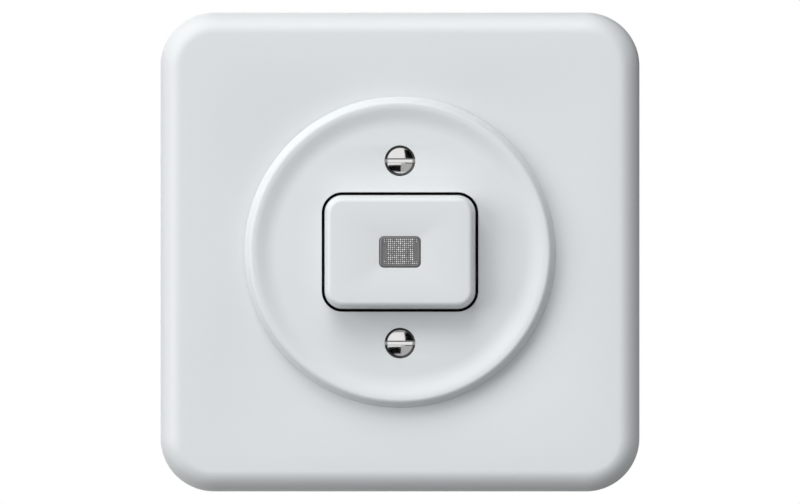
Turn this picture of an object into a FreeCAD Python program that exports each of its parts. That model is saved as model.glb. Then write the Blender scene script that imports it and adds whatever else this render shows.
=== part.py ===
import FreeCAD, Part
import math
import os

import Sketcher
from FreeCAD import Placement, Rotation, Vector

# Wall-mounted push button with a lit window, in millimetres.
# Every piece is drawn with x to the right, y up and z out of the wall, and its
# placement then stands it up, so that the front of the finished part faces -Y.
# The origin is the centre of the cover frame on the wall plane.

# Driving sizes
SIZES = {
    # square cover frame
    "frame_side": "86",
    "frame_corner": "9",
    "frame_depth": "8",
    "frame_edge": "3.8",
    "frame_wall": "2",
    "frame_hole_width": "51",
    "hub_wall": "1.8",
    "hub_depth": "1.5",
    # round dished front plate
    "plate_width": "56",
    "rim_height": "2.6",
    "rim_side": "2.15",
    "rim_run": "1",
    "dish_slope": "4.4",
    "dish_depth": "0.8",
    "plate_thick": "2.2",
    "spigot_depth": "2.5",
    "spigot_wall": "1.8",
    "spigot_clear": "0.2",
    # push button, its window and its slider
    "button_width": "27",
    "button_height": "20.35",
    "button_corner": "3.2",
    "button_edge": "1.5",
    "button_proud": "4.9",
    "button_wall": "1.6",
    "button_roof": "2",
    "button_gap": "0.53",
    "travel": "3.2",
    "lens_width": "7.35",
    "lens_height": "5.5",
    "lens_corner": "0.8",
    "lens_clear": "0.05",
    "lens_proud": "0.15",
    "lens_bevel": "0.3",
    "lens_lip": "1.2",
    "lens_lip_thick": "1",
    "slider_thick": "1.5",
    "slider_reach": "1.575",
    "slider_rim": "5",
    "slider_wall": "1.2",
    "slider_corner": "0.4",
    "slider_clear": "0.05",
    "tube_wall": "0.9",
    "stop_gap": "0.05",
    # guide housing round the button
    "guide_clear": "0.25",
    "guide_wall": "1.5",
    "guide_gap": "0.1",
    "foot_thick": "1.5",
    "foot_margin": "0.8",
    # steel mounting plate on the wall
    "strap_side": "72",
    "strap_corner": "5",
    "strap_thick": "1",
    "box_spacing": "60",
    "slot_length": "8",
    "slot_width": "4.2",
    # pillars and the two screws of the front plate
    "screw_spacing": "32.7",
    "pillar_width": "6",
    "tenon_width": "4",
    "thread_width": "3",
    "thread_clear": "0.05",
    "screw_length": "8",
    "head_width": "5.4",
    "head_sink": "0.8",
    "head_edge": "0.42",
    "head_shoulder": "0.5",
    "head_dome": "0.45",
    "head_gap": "0.05",
    "seat_clear": "0.03",
    "driver_width": "0.8",
    "driver_depth": "0.9",
    # four screws that hold guide housing, mounting plate and base together
    "tie_width": "2.2",
    "tie_length": "10.5",
    "tie_head": "4.2",
    "tie_head_thick": "1.4",
    "tie_rise": "8.5",
    "tie_clear": "0.1",
    # insulating base in the wall box
    "base_side": "44",
    "base_corner": "7",
    "base_depth": "22",
    "floor_thick": "2.5",
    "cavity_clear": "0.4",
    "cavity_corner": "0.5",
    # return spring, lamp and lamp holder
    "spring_length": "10.5",
    "spring_width": "11.4",
    "wire_width": "0.7",
    "spring_turns": "3",
    "spring_clear": "0.05",
    "cup_depth": "1.2",
    "cup_wall": "1",
    "cup_clear": "0.3",
    "holder_side": "12.4",
    "sleeve_width": "9",
    "sleeve_clear": "0.5",
    "lamp_width": "5",
    "lamp_clear": "0.1",
    "lamp_rise": "0.5",
    "lamp_tip": "1.4",
    # contact lever, its pivot and its spring
    "row_offset": "8.6",
    "lever_drop": "6.4",
    "lever_width": "4",
    "lever_thick": "0.8",
    "lever_tip": "2",
    "pin_width": "1.5",
    "pin_clear": "0.03",
    "pin_seat": "0.01",
    "pin_stick": "0.3",
    "ear_wall": "1",
    "ear_gap": "0.15",
    "ear_clear": "0.4",
    "nose_offset": "4",
    "nose_width": "3",
    "nose_gap": "0.15",
    "contact_offset": "10",
    "contact_width": "3",
    "contact_height": "0.9",
    "contact_gap": "0.1",
    "anvil_width": "3.8",
    "anvil_thick": "1",
    "leaf_thick": "0.4",
    "leaf_width": "3",
    "leaf_arm": "4.4",
    "leaf_gap": "0.1",
    # brass strips and terminals
    "strip_thick": "0.8",
    "strip_width": "3.5",
    "strip_clear": "0.5",
    "slit_clear": "0.1",
    "shelf_clear": "0.3",
    "block_side": "7",
    "block_length": "9",
    "block_sink": "0.5",
    "block_inset": "0.525",
    "block_offset": "8",
    "block_clear": "0.05",
    "wire_hole": "3.2",
    "wire_depth": "8",
    "wire_wall": "0.8",
    "clamp_width": "3",
    "clamp_web": "0.4",
    "clamp_clear": "0.05",
    "clamp_head": "4.8",
    "clamp_head_thick": "1.6",
    "clamp_drop": "4.5",
}

doc = FreeCAD.newDocument("push_button_switch")
sheet = doc.addObject("Spreadsheet::Sheet", "sizes")
for row, (alias, text) in enumerate(SIZES.items(), start=1):
    sheet.set(f"A{row}", alias)
    sheet.set(f"B{row}", text)
    sheet.setAlias(f"B{row}", alias)
doc.recompute()


# Lengths that carry their own formula
class Length:
    """A length as a number, to draw with, and as a formula on the sheet, to bind to."""

    def __init__(self, value, formula):
        self.value = value
        self.formula = formula

    @staticmethod
    def of(other):
        return other if isinstance(other, Length) else Length(float(other), str(other))

    def join(self, sign, other, value):
        return Length(value, f"({self.formula} {sign} {other.formula})")

    def __add__(self, other):
        other = Length.of(other)
        return self.join("+", other, self.value + other.value)

    def __sub__(self, other):
        other = Length.of(other)
        return self.join("-", other, self.value - other.value)

    def __mul__(self, other):
        other = Length.of(other)
        return self.join("*", other, self.value * other.value)

    def __truediv__(self, other):
        other = Length.of(other)
        return self.join("/", other, self.value / other.value)

    def __neg__(self):
        return Length.of(0) - self

    def root(self):
        return Length(math.sqrt(self.value), f"sqrt({self.formula})")


def size(alias):
    return Length(float(sheet.get(alias)), f"sizes.{alias}")


ZERO = Length.of(0)


# Drawing and feature helpers
ORIGIN_POINT = (-1, 1)
START, END, CENTRE = 1, 2, 3
FULL_TURN = 360


class Drawing:
    """A sketch on one of a body's own planes, with every corner tied to the sheet.

    On the "XY_Plane" the sketch lies at z = height and reads (x, y).
    On the "XZ_Plane" it lies at y = height and reads (x, z).
    """

    def __init__(self, body, plane="XY_Plane", height=ZERO):
        self.body = body
        self.sketch = body.newObject("Sketcher::SketchObject", f"{body.Name}_sketch")
        support = next(item for item in body.Origin.OriginFeatures if item.Role == plane)
        self.sketch.AttachmentSupport = [(support, "")]
        self.sketch.MapMode = "FlatFace"
        offset = -height if plane == "XZ_Plane" else height
        self.sketch.setExpression(".AttachmentOffset.Base.z", offset.formula)

    def bind(self, kind, *places, to):
        index = self.sketch.addConstraint(Sketcher.Constraint(kind, *places, to.value))
        self.sketch.setExpression(f"Constraints[{index}]", to.formula)

    def pin(self, element, point, x, y):
        self.bind("DistanceX", *ORIGIN_POINT, element, point, to=x)
        self.bind("DistanceY", *ORIGIN_POINT, element, point, to=y)

    def circle(self, x, y, width):
        centre = Vector(x.value, y.value, 0)
        element = self.sketch.addGeometry(Part.Circle(centre, Vector(0, 0, 1), width.value / 2))
        self.pin(element, CENTRE, x, y)
        self.bind("Radius", element, to=width / 2)
        return self

    def outline(self, corners):
        """A closed outline; a corner with a third entry starts an arc of that radius.

        A positive radius turns to the left of the direction of travel, a negative one to the right.
        """
        ends = []
        for corner, following in zip(corners, corners[1:] + corners[:1]):
            start = Vector(corner[0].value, corner[1].value, 0)
            end = Vector(following[0].value, following[1].value, 0)
            if len(corner) == 2:
                element = self.sketch.addGeometry(Part.LineSegment(start, end))
                ends.append((element, START, END))
                continue
            bend = corner[2]
            turns_left = bend.value > 0
            first, last = (start, end) if turns_left else (end, start)
            element = self.sketch.addGeometry(arc_between(first, last, abs(bend.value)))
            self.bind("Radius", element, to=bend if turns_left else -bend)
            ends.append((element, START, END) if turns_left else (element, END, START))
        for current, following in zip(ends, ends[1:] + ends[:1]):
            joint = Sketcher.Constraint("Coincident", current[0], current[2], following[0], following[1])
            self.sketch.addConstraint(joint)
        for (element, start, _), corner in zip(ends, corners):
            self.pin(element, start, corner[0], corner[1])
        return self

    def rectangle(self, left, right, bottom, top):
        return self.outline([(left, bottom), (right, bottom), (right, top), (left, top)])

    def rounded(self, width, height, corner):
        """A rectangle about the origin with round corners."""
        outer_x, outer_y = width / 2, height / 2
        inner_x, inner_y = outer_x - corner, outer_y - corner
        return self.outline([
            (-inner_x, -outer_y), (inner_x, -outer_y, corner),
            (outer_x, -inner_y), (outer_x, inner_y, corner),
            (inner_x, outer_y), (-inner_x, outer_y, corner),
            (-outer_x, inner_y), (-outer_x, -inner_y, corner),
        ])

    def slot(self, x, y, length, width, upright=False):
        """A slot with two half-round ends, along x or along y."""
        reach = (length - width) / 2
        radius = (width / 2).value
        along = Vector(0, 1, 0) if upright else Vector(1, 0, 0)
        across = Vector(-along.y, along.x, 0) * radius
        centre = Vector(x.value, y.value, 0)
        heading = math.pi / 2 if upright else 0.0
        arcs = []
        for sign in (1, -1):
            place = centre + along * (reach.value * sign)
            start = heading - sign * math.pi / 2
            circle = Part.Circle(place, Vector(0, 0, 1), radius)
            arc = self.sketch.addGeometry(Part.ArcOfCircle(circle, start, start + math.pi))
            step_x = ZERO if upright else reach * sign
            step_y = reach * sign if upright else ZERO
            self.pin(arc, CENTRE, x + step_x, y + step_y)
            self.bind("Radius", arc, to=width / 2)
            arcs.append((arc, place))
        (head, head_place), (tail, tail_place) = arcs
        for side, start, end in ((across, END, START), (-across, START, END)):
            line = self.sketch.addGeometry(Part.LineSegment(head_place + side, tail_place + side))
            self.sketch.addConstraint(Sketcher.Constraint("Tangent", head, start, line, START))
            self.sketch.addConstraint(Sketcher.Constraint("Tangent", line, END, tail, end))
        return self

    def feature(self, kind, name):
        made = self.body.newObject(f"PartDesign::{kind}", f"{self.body.Name}_{name}")
        made.Profile = self.sketch
        self.sketch.Visibility = False
        return made

    def pad(self, length):
        made = self.feature("Pad", "pad")
        made.setExpression("Length", length.formula)
        return made

    def pocket(self, depth):
        """Cuts from the sketch down into the piece, which has to lose volume."""
        doc.recompute()
        before = self.body.Shape.Volume
        made = self.feature("Pocket", "pocket")
        made.setExpression("Length", depth.formula)
        doc.recompute()
        if self.body.Shape.Volume >= before:
            raise ValueError(f"a pocket in {self.body.Label} cuts nothing")
        return made

    def turn(self, kind="Revolution"):
        """Turns the outline once round the sketch's upright axis."""
        made = self.feature(kind, "turn")
        made.ReferenceAxis = (self.sketch, ["V_Axis"])
        made.Angle = FULL_TURN
        return made


def arc_between(start, end, radius):
    """The short arc from start to end that turns to the left."""
    chord = end - start
    rise = math.sqrt(max(radius ** 2 - (chord.Length / 2) ** 2, 0))
    left = Vector(-chord.y, chord.x, 0).normalize()
    centre = (start + end) / 2 + left * rise
    first = math.atan2(start.y - centre.y, start.x - centre.x)
    last = math.atan2(end.y - centre.y, end.x - centre.x)
    circle = Part.Circle(centre, Vector(0, 0, 1), radius)
    return Part.ArcOfCircle(circle, first, last if last > first else last + 2 * math.pi)


pieces = []
UPRIGHT = Rotation(Vector(1, 0, 0), 90)
HALF_TURN = Rotation(Vector(0, 0, 1), 180)


def new_piece(label, x=ZERO, y=ZERO, z=ZERO, turned=False):
    """A body whose own origin stands at (x, y, z), turned half round about z where asked."""
    body = doc.addObject("PartDesign::Body", label)
    body.Label = label
    body.Placement = Placement(Vector(), UPRIGHT * HALF_TURN if turned else UPRIGHT)
    for axis, place in (("x", x), ("y", -z), ("z", y)):
        body.setExpression(f".Placement.Base.{axis}", place.formula)
    pieces.append(body)
    return body


def mirror(body, plane, features):
    """Repeats features on the other side of one of the body's own planes."""
    made = body.newObject("PartDesign::Mirrored", f"{body.Name}_mirrored")
    made.Originals = features
    support = next(item for item in body.Origin.OriginFeatures if item.Role == plane)
    made.MirrorPlane = (support, [""])
    body.Tip = made
    return made


def outer_loop_at(body, level):
    """Names of the edges of the largest loop of the flat face that lies at a level."""
    doc.recompute()
    shape = body.Tip.Shape
    faces = [face for face in shape.Faces if abs(face.BoundBox.ZMin - level.value) < 1e-6
             and abs(face.BoundBox.ZMax - level.value) < 1e-6]
    wire = max((face.OuterWire for face in faces), key=lambda loop: loop.BoundBox.DiagonalLength)
    return [f"Edge{number}" for number, edge in enumerate(shape.Edges, start=1)
            if any(edge.isSame(other) for other in wire.Edges)]


def round_edges(body, level, radius):
    edges = outer_loop_at(body, level)
    base = body.Tip
    made = body.newObject("PartDesign::Fillet", f"{body.Name}_edge")
    made.Base = (base, edges)
    made.setExpression("Radius", radius.formula)
    return made


# Levels above the wall, from the front inwards
face = size("frame_depth")
crest = face + size("rim_height")
plateau = crest - size("dish_depth")
plate_back = plateau - size("plate_thick")
strap_front = size("strap_thick")
foot_front = strap_front + size("foot_thick")
button_front = plateau + size("button_proud")
lens_seat = button_front - size("button_roof")
lens_back = lens_seat - size("lens_lip_thick")
slider_front = strap_front - size("stop_gap")
slider_back = slider_front - size("slider_thick")
spring_seat = slider_back - size("spring_length")
sleeve_front = slider_back - size("travel") - size("sleeve_clear")

# Reach of the moving parts, and the hollow that they run in
skirt_x = size("button_width") / 2
skirt_y = size("button_height") / 2
slider_x = skirt_x + size("slider_reach")
slider_y = skirt_y + size("slider_reach")
cavity_x = slider_x + size("cavity_clear")
cavity_y = slider_y + size("cavity_clear")
base_half = size("base_side") / 2

# The contact lever turns about a pin and is pushed down by the slider's nose
row_y = size("row_offset")
lever_front = slider_back - size("lever_drop")
lever_back = lever_front - size("lever_thick")
eye_radius = size("pin_width") / 2 + size("pin_clear") + size("lever_thick")
ear_radius = size("pin_width") / 2 + size("ear_wall")
pivot_x = -(cavity_x - ear_radius - size("ear_clear"))
pivot_z = lever_front - eye_radius
ear_inner = size("lever_width") / 2 + size("ear_gap")
ear_outer = ear_inner + size("strip_thick")

# Where the domed contact gets to when the button is right down
nose_arm = size("nose_offset") - pivot_x
contact_arm = size("contact_offset") - pivot_x
swing = (nose_arm * nose_arm + size("travel") * size("travel")).root()
dome_half = size("contact_width") / 2
dome_radius = (dome_half * dome_half / size("contact_height") + size("contact_height")) / 2
dome_rise = lever_back - size("contact_height") + dome_radius - pivot_z
dome_fall = (contact_arm * size("travel") - dome_rise * nose_arm) / swing
anvil_front = pivot_z - dome_fall - dome_radius - size("contact_gap")
strip_front = anvil_front - size("anvil_thick")
shelf = strip_front - size("strip_thick")
shelf_y = size("holder_side") / 2 + size("shelf_clear")

# Floor of the base and the four terminals behind it
floor = size("floor_thick") - size("base_depth")
block_back = size("block_sink") - size("base_depth")
block_front = block_back + size("block_length")
block_outer = base_half - size("block_inset")
block_y = block_outer - size("block_side")
pocket_y = block_y - size("block_clear")
block_half = size("block_side") / 2
terminal_x = base_half - size("block_offset")
wire_y = block_y + size("wire_wall") + size("wire_hole") / 2
clamp_z = block_back + size("clamp_drop")
clamp_end = wire_y + size("wire_hole") / 2 + size("clamp_web")
leg_outer = cavity_x - size("strip_clear")
leg_inner = leg_outer - size("strip_width")

# Fixing points
screw_y = size("screw_spacing") / 2
thread_hole = size("thread_width") + size("thread_clear") * 2
tie_x = (cavity_x + base_half) / 2
tie_y = size("tie_rise")
tie_hole = size("tie_width") + size("tie_clear") * 2
box_x = size("box_spacing") / 2


def cover_frame():
    """Square frame with a rounded front edge, hollow behind, with a round hole for the front plate."""
    body = new_piece("cover_frame")
    side, wall = size("frame_side"), size("frame_wall")
    Drawing(body).rounded(side, side, size("frame_corner")).pad(face)
    round_edges(body, face, size("frame_edge"))
    hollow = side - wall * 2
    roof = face - wall
    Drawing(body, height=roof).rounded(hollow, hollow, size("frame_corner") - wall).pocket(roof)
    hub_width = size("frame_hole_width") + size("hub_wall") * 2
    Drawing(body, height=roof - size("hub_depth")).circle(ZERO, ZERO, hub_width).pad(size("hub_depth"))
    Drawing(body, height=face).circle(ZERO, ZERO, size("frame_hole_width")).pocket(face)


def front_plate():
    """Round plate with a raised rim that slopes down to a flat middle, on a spigot in the frame's hole."""
    body = new_piece("front_plate")
    outer = size("plate_width") / 2
    side, run = size("rim_side"), size("rim_run")
    slant = (side * side + run * run).root()
    rim_bend = (size("rim_height") - side) * slant / (slant - run)
    rim_x = outer - run - rim_bend * side / slant
    slope, depth = size("dish_slope"), size("dish_depth")
    bend = (slope * slope / depth + depth) / 4
    spigot = size("frame_hole_width") / 2 - size("spigot_clear")
    spigot_inner = spigot - size("spigot_wall")
    spigot_back = face - size("spigot_depth")
    Drawing(body, "XZ_Plane").outline([
        (ZERO, plate_back),
        (spigot_inner, plate_back),
        (spigot_inner, spigot_back),
        (spigot, spigot_back),
        (spigot, face),
        (outer, face),
        (outer - run, face + side, rim_bend),
        (rim_x, crest, bend),
        (rim_x - slope / 2, crest - depth / 2, -bend),
        (rim_x - slope, plateau),
        (ZERO, plateau),
    ]).turn()
    gap = size("button_gap")
    opening = Drawing(body, height=plateau)
    opening.rounded(size("button_width") + gap * 2, size("button_height") + gap * 2,
                    size("button_corner") + gap)
    opening.pocket(size("plate_thick"))
    bore = size("thread_width") / 2 + size("thread_clear") + size("seat_clear")
    seat_half = size("head_width") / 2 + size("head_gap")
    rim_level = plateau - size("head_sink")
    recess = Drawing(body, "XZ_Plane", screw_y)
    recess.outline([
        (ZERO, plate_back),
        (bore, plate_back),
        (bore, rim_level - (seat_half - bore)),
        (seat_half, rim_level),
        (seat_half, plateau),
        (ZERO, plateau),
    ])
    cut = recess.turn("Groove")
    doc.recompute()
    mirror(body, "XZ_Plane", [cut])


def front_plate_screws():
    """Two slotted screws with raised countersunk heads, a rounded shoulder below a flat dome."""
    body = new_piece("front_plate_screws")
    half, head = size("thread_width") / 2, size("head_width") / 2
    rim_level = plateau - size("head_sink")
    edge, shoulder, dome = size("head_edge"), size("head_shoulder"), size("head_dome")
    shoulder_bend = (shoulder * shoulder / edge + edge) / 2
    crown = head - edge
    crown_bend = (crown * crown / dome + dome) / 2
    dome_top = rim_level + shoulder + dome
    profile = Drawing(body, "XZ_Plane", screw_y)
    profile.outline([
        (ZERO, rim_level - size("screw_length")),
        (half, rim_level - size("screw_length")),
        (half, rim_level - (head - half)),
        (head, rim_level, shoulder_bend),
        (crown, rim_level + shoulder, crown_bend),
        (ZERO, dome_top),
    ])
    turned = profile.turn()
    across = size("driver_width") / 2
    groove = Drawing(body, height=dome_top)
    groove.rectangle(-head, head, screw_y - across, screw_y + across)
    cut = groove.pocket(size("driver_depth"))
    mirror(body, "XZ_Plane", [turned, cut])


def threaded_pillars():
    """Two brass pillars riveted into the mounting plate, which take the front plate's screws."""
    body = new_piece("threaded_pillars")
    tenon = Drawing(body)
    column = Drawing(body, height=strap_front)
    bore = Drawing(body, height=plate_back)
    for y in (screw_y, -screw_y):
        tenon.circle(ZERO, y, size("tenon_width"))
        column.circle(ZERO, y, size("pillar_width"))
        bore.circle(ZERO, y, thread_hole)
    column.pad(plate_back - strap_front)
    tenon.pad(strap_front)
    bore.pocket(plate_back)


def push_button():
    """Hollow cap with rounded edges and a window through its face."""
    body = new_piece("push_button")
    width, height, corner = size("button_width"), size("button_height"), size("button_corner")
    wall = size("button_wall")
    Drawing(body, height=slider_front).rounded(width, height, corner).pad(button_front - slider_front)
    round_edges(body, button_front, size("button_edge"))
    hollow = Drawing(body, height=lens_seat)
    hollow.rounded(width - wall * 2, height - wall * 2, corner - wall)
    hollow.pocket(lens_seat - slider_front)
    clear = size("lens_clear")
    window = Drawing(body, height=button_front)
    window.rounded(size("lens_width") + clear * 2, size("lens_height") + clear * 2,
                   size("lens_corner") + clear)
    window.pocket(size("button_roof"))


def window_lens():
    """Clear window with a bevelled face and a lip that seats behind the button's face."""
    body = new_piece("window_lens")
    width, height, corner = size("lens_width"), size("lens_height"), size("lens_corner")
    lip = size("lens_lip")
    Drawing(body, height=lens_back).rounded(width + lip * 2, height + lip * 2, corner + lip).pad(
        size("lens_lip_thick"))
    lens_front = button_front + size("lens_proud")
    Drawing(body, height=lens_seat).rounded(width, height, corner).pad(lens_front - lens_seat)
    edges = outer_loop_at(body, lens_front)
    base = body.Tip
    bevel = body.newObject("PartDesign::Chamfer", "window_lens_bevel")
    bevel.Base = (base, edges)
    bevel.setExpression("Size", size("lens_bevel").formula)


def button_slider():
    """Carrier under the button: stop flange, light tube, spring cup and the nose that works the lever."""
    body = new_piece("button_slider")
    wall, clear = size("button_wall"), size("slider_clear")
    flange = Drawing(body, height=slider_back)
    flange.rounded(slider_x * 2, slider_y * 2, size("button_corner"))
    flange.pad(size("slider_thick"))
    rim_wall = size("slider_wall")
    rim_x, rim_y = (skirt_x - wall - clear) * 2, (skirt_y - wall - clear) * 2
    rim_corner = size("button_corner") - wall - clear
    rim = Drawing(body, height=slider_front)
    rim.rounded(rim_x, rim_y, rim_corner)
    rim.rounded(rim_x - rim_wall * 2, rim_y - rim_wall * 2, size("slider_corner"))
    rim.pad(size("slider_rim"))
    lip, tube_wall = size("lens_lip"), size("tube_wall")
    tube_x, tube_y = size("lens_width") + lip * 2, size("lens_height") + lip * 2
    tube_corner = size("lens_corner") + lip
    tube = Drawing(body, height=slider_front)
    tube.rounded(tube_x, tube_y, tube_corner)
    tube.pad(lens_back - slider_front)
    cup = Drawing(body, height=slider_back - size("cup_depth"))
    cup_inner = size("spring_width") + size("cup_clear") * 2
    cup.circle(ZERO, ZERO, cup_inner + size("cup_wall") * 2)
    cup.circle(ZERO, ZERO, cup_inner)
    cup.pad(size("cup_depth"))
    nose_half = size("nose_width") / 2
    nose_x = size("nose_offset")
    nose_back = lever_front + size("nose_gap")
    nose = Drawing(body, "XZ_Plane", row_y + size("lever_width") / 2)
    nose.outline([
        (nose_x - nose_half, slider_back),
        (nose_x - nose_half, nose_back + nose_half, nose_half),
        (nose_x, nose_back, nose_half),
        (nose_x + nose_half, nose_back + nose_half),
        (nose_x + nose_half, slider_back),
    ])
    nose.pad(size("lever_width"))
    light = Drawing(body, height=lens_back)
    light.rounded(tube_x - tube_wall * 2, tube_y - tube_wall * 2, tube_corner - tube_wall)
    light.pocket(lens_back - slider_back)


def guide_housing():
    """Black collar that the button slides in, on a foot screwed to the mounting plate."""
    body = new_piece("guide_housing")
    clear, wall = size("guide_clear"), size("guide_wall")
    inner_x, inner_y = (skirt_x + clear) * 2, (skirt_y + clear) * 2
    inner_corner = size("button_corner") + clear
    outer_x, outer_y = inner_x + wall * 2, inner_y + wall * 2
    foot = Drawing(body, height=strap_front)
    foot.rounded((base_half - size("foot_margin")) * 2, outer_y, inner_corner)
    foot.pad(size("foot_thick"))
    collar_top = plate_back - size("guide_gap")
    collar = Drawing(body, height=strap_front)
    collar.rounded(outer_x, outer_y, inner_corner + wall)
    collar.pad(collar_top - strap_front)
    opening = Drawing(body, height=collar_top)
    opening.rounded(inner_x, inner_y, inner_corner)
    opening.pocket(collar_top - strap_front)
    holes = Drawing(body, height=foot_front)
    for x, y in tie_points():
        holes.circle(x, y, tie_hole)
    holes.pocket(size("foot_thick"))


def tie_points():
    return [(tie_x, tie_y), (-tie_x, tie_y), (-tie_x, -tie_y), (tie_x, -tie_y)]


def mounting_plate():
    """Steel plate that lies on the wall, slotted for the screws of the wall box."""
    body = new_piece("mounting_plate")
    side, thick = size("strap_side"), size("strap_thick")
    Drawing(body).rounded(side, side, size("strap_corner")).pad(thick)
    window = Drawing(body, height=strap_front)
    window.rounded(cavity_x * 2, cavity_y * 2, size("button_corner"))
    window.pocket(thick)
    slots = Drawing(body, height=strap_front)
    for sign in (1, -1):
        slots.slot(box_x * sign, ZERO, size("slot_length"), size("slot_width"))
        slots.slot(ZERO, box_x * sign, size("slot_length"), size("slot_width"), upright=True)
    slots.pocket(thick)
    holes = Drawing(body, height=strap_front)
    for x, y in tie_points():
        holes.circle(x, y, tie_hole)
    for y in (screw_y, -screw_y):
        holes.circle(ZERO, y, size("tenon_width"))
    holes.pocket(thick)


def switch_base():
    """Insulating base: an open hollow with a shelf for the contacts, and four terminal pockets."""
    body = new_piece("switch_base")
    depth = size("base_depth")
    side = size("base_side")
    Drawing(body, height=-depth).rounded(side, side, size("base_corner")).pad(depth)
    Drawing(body).rounded(cavity_x * 2, cavity_y * 2, size("cavity_corner")).pocket(-shelf)
    well = Drawing(body, height=shelf)
    well.rectangle(-cavity_x, cavity_x, -cavity_y, shelf_y)
    well.pocket(shelf - floor)
    pockets = Drawing(body, height=block_front)
    half = block_half + size("block_clear")
    for sign in (1, -1):
        left, right = terminal_x * sign - half, terminal_x * sign + half
        pockets.rectangle(left, right, pocket_y, base_half)
        pockets.rectangle(left, right, -base_half, -pocket_y)
    pockets.pocket(block_front + depth)
    clear = size("slit_clear")
    for level, near, far in ((shelf, cavity_y, pocket_y), (floor, -pocket_y, -cavity_y)):
        slits = Drawing(body, height=level + size("strip_thick") + clear)
        slits.rectangle(leg_inner - clear, leg_outer + clear, near, far)
        slits.rectangle(-leg_outer - clear, clear - leg_inner, near, far)
        slits.pocket(size("strip_thick") + clear)
    pilots = Drawing(body)
    for x, y in tie_points():
        pilots.circle(x, y, size("tie_width") + size("seat_clear") * 2)
    pilots.pocket(size("tie_length") - foot_front + size("tie_clear"))


def tie_screws():
    """Four screws from the guide housing's foot through the mounting plate into the base."""
    body = new_piece("tie_screws")
    shank = Drawing(body, height=foot_front - size("tie_length"))
    head = Drawing(body, height=foot_front)
    slot = Drawing(body, height=foot_front + size("tie_head_thick"))
    across = size("driver_width") / 2
    reach = size("tie_head") / 2
    for x, y in tie_points():
        shank.circle(x, y, size("tie_width"))
        head.circle(x, y, size("tie_head"))
        slot.rectangle(x - reach, x + reach, y - across, y + across)
    shank.pad(size("tie_length"))
    head.pad(size("tie_head_thick"))
    slot.pocket(size("tie_head_thick") / 2)


WIRE_SIDES = 6


def return_spring():
    """Coil of round wire, drawn six-sided, between the lamp holder and the slider."""
    wire = size("wire_width") / 2
    clear = size("spring_clear")
    body = new_piece("return_spring", z=spring_seat + wire + clear)
    mean = size("spring_width") / 2 - wire
    corners = []
    for step in range(WIRE_SIDES):
        angle = 2 * math.pi * (step + 0.5) / WIRE_SIDES
        corners.append((mean + wire * math.cos(angle), wire * math.sin(angle)))
    coil = Drawing(body, "XZ_Plane").outline(corners).feature("AdditiveHelix", "coil")
    coil.ReferenceAxis = (coil.Profile[0], ["V_Axis"])
    coil.Mode = "height-turns-angle"
    coil.setExpression("Height", (size("spring_length") - (wire + clear) * 2).formula)
    coil.setExpression("Turns", size("spring_turns").formula)


def lamp_holder():
    """Block on the base's floor that seats the spring, with a sleeve for the lamp."""
    body = new_piece("lamp_holder")
    side = size("holder_side")
    Drawing(body, height=floor).rectangle(-side / 2, side / 2, -side / 2, side / 2).pad(spring_seat - floor)
    sleeve = Drawing(body, height=spring_seat)
    sleeve.circle(ZERO, ZERO, size("sleeve_width")).pad(sleeve_front - spring_seat)
    bore = Drawing(body, height=sleeve_front)
    bore.circle(ZERO, ZERO, size("lamp_width") + size("lamp_clear") * 2)
    bore.pocket(sleeve_front - spring_seat)


def indicator_lamp():
    """Small lamp with a drawn-in tip that stands in its holder and reaches into the light tube."""
    body = new_piece("indicator_lamp")
    half, taper = size("lamp_width") / 2, size("lamp_tip")
    tip = slider_front + size("lamp_rise")
    Drawing(body, "XZ_Plane").outline([
        (ZERO, spring_seat),
        (half, spring_seat),
        (half, tip - taper),
        (half - taper, tip),
        (ZERO, tip),
    ]).turn()


def lamp_strip(label, sign):
    """Flat brass strip from the lamp holder to its terminal, laid on the base's floor."""
    body = new_piece(label, turned=True)
    inner = size("holder_side") / 2
    half = size("strip_width") / 2
    Drawing(body, height=floor).outline([
        (inner * sign, -half),
        (leg_outer * sign, -half),
        (leg_outer * sign, block_y),
        (leg_inner * sign, block_y),
        (leg_inner * sign, half),
        (inner * sign, half),
    ]).pad(size("strip_thick"))


def contact_lever():
    """Springy strip rolled into an eye round the pivot pin."""
    body = new_piece("contact_lever")
    top = row_y + size("lever_width") / 2
    width = size("lever_width")
    strip = Drawing(body, "XZ_Plane", top)
    strip.rectangle(pivot_x, size("contact_offset") + size("lever_tip"), lever_back, lever_front)
    strip.pad(width)
    Drawing(body, "XZ_Plane", top).circle(pivot_x, pivot_z, eye_radius * 2).pad(width)
    bore = Drawing(body, "XZ_Plane", row_y - width / 2)
    bore.circle(pivot_x, pivot_z, size("pin_width") + size("pin_clear") * 2)
    bore.pocket(width)


def moving_contact():
    """Domed contact under the lever's free end."""
    body = new_piece("moving_contact", x=size("contact_offset"), y=row_y, z=lever_back)
    Drawing(body, "XZ_Plane").outline([
        (ZERO, -size("contact_height"), dome_radius),
        (dome_half, ZERO),
        (ZERO, ZERO),
    ]).turn()


def pivot_pin():
    """Pin through the bracket's two ears and the lever's eye."""
    body = new_piece("pivot_pin")
    reach = ear_outer + size("pin_stick")
    pin = Drawing(body, "XZ_Plane", row_y + reach)
    pin.circle(pivot_x, pivot_z, size("pin_width")).pad(reach * 2)


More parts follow.
